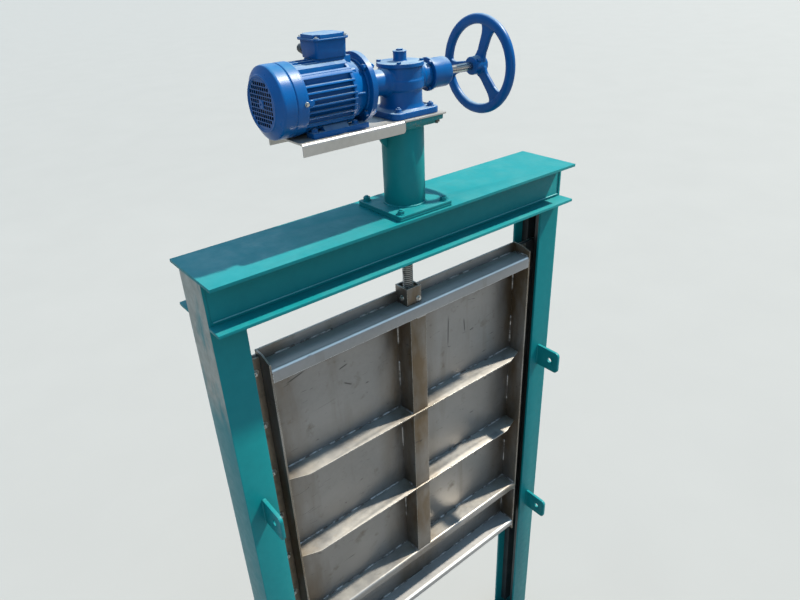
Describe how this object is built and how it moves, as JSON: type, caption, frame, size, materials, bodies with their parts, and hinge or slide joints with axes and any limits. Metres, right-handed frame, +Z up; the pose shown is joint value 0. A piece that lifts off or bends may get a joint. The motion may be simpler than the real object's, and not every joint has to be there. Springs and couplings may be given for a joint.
{
  "type": "motorised channel sluice gate",
  "caption": "Sluice gate with a screw-driven stainless leaf in a steel channel frame, motor and gearbox on a pedestal, and a handwheel.",
  "frame": {"origin": "middle of the sill's underside", "axes": "+X along the head beam towards the handwheel, +Y to the upstream side, +Z up along the screw"},
  "size_m": [1.2, 0.262, 2.646],
  "materials": {
    "teal_paint": "satin",
    "blue_enamel": "satin",
    "stainless_sheet": "weathered",
    "machined_steel": "machined",
    "black_rubber": "matte",
    "black_plastic": "matte",
    "bronze": "machined"
  },
  "bodies": {
    "frame": {"beam_top_plate": "teal_paint", "beam_bottom_plate": "teal_paint", "beam_front_web": "teal_paint", "beam_rear_web": "teal_paint", "post_left": "teal_paint", "post_right": "teal_paint", "sill": "teal_paint", "guide_bars_left": "black_plastic", "guide_bars_right": "black_plastic", "wall_lugs_left": "teal_paint", "wall_lugs_right": "teal_paint", "pedestal_pad": "teal_paint", "pedestal_base": "teal_paint", "pedestal_column": "teal_paint", "pedestal_head": "teal_paint", "motor_tray": "stainless_sheet", "gearbox_housing": "blue_enamel", "gearbox_cover": "blue_enamel", "gearbox_cap": "blue_enamel", "coupling_flange": "blue_enamel", "hand_drive": "blue_enamel", "motor_body": "blue_enamel", "motor_feet": "blue_enamel", "fan_cowl": "blue_enamel", "terminal_box": "blue_enamel", "terminal_lid": "blue_enamel", "cable_gland": "black_plastic"},
    "leaf": {"leaf_skin": "stainless_sheet", "leaf_top_channel": "stainless_sheet", "leaf_rib_upper": "stainless_sheet", "leaf_rib_middle": "stainless_sheet", "leaf_rib_lower": "stainless_sheet", "leaf_bottom_channel": "stainless_sheet", "leaf_box_stiffener": "stainless_sheet", "leaf_side_left": "stainless_sheet", "leaf_side_right": "stainless_sheet", "clamp_strips": "stainless_sheet", "side_seals": "black_rubber", "bottom_seal": "black_rubber", "nut_box": "stainless_sheet", "stem_nut": "bronze"},
    "screw": {"stem": "machined_steel"},
    "wheel": {"handwheel_shaft": "machined_steel", "handwheel": "blue_enamel"}
  },
  "joints": [
    {"name": "leaf_slide", "type": "slide", "parent": "frame", "child": "leaf", "axis": [0, 0, 1], "range_m": [-0.59, 0.08]},
    {"name": "stem_spin", "type": "hinge", "parent": "frame", "child": "screw", "pos_m": [0, -0.01, 2], "axis": [0, 0, 1], "continuous": true},
    {"name": "handwheel_spin", "type": "hinge", "parent": "frame", "child": "wheel", "pos_m": [0.266, -0.01, 2.521], "axis": [1, 0, 0], "continuous": true}
  ]
}
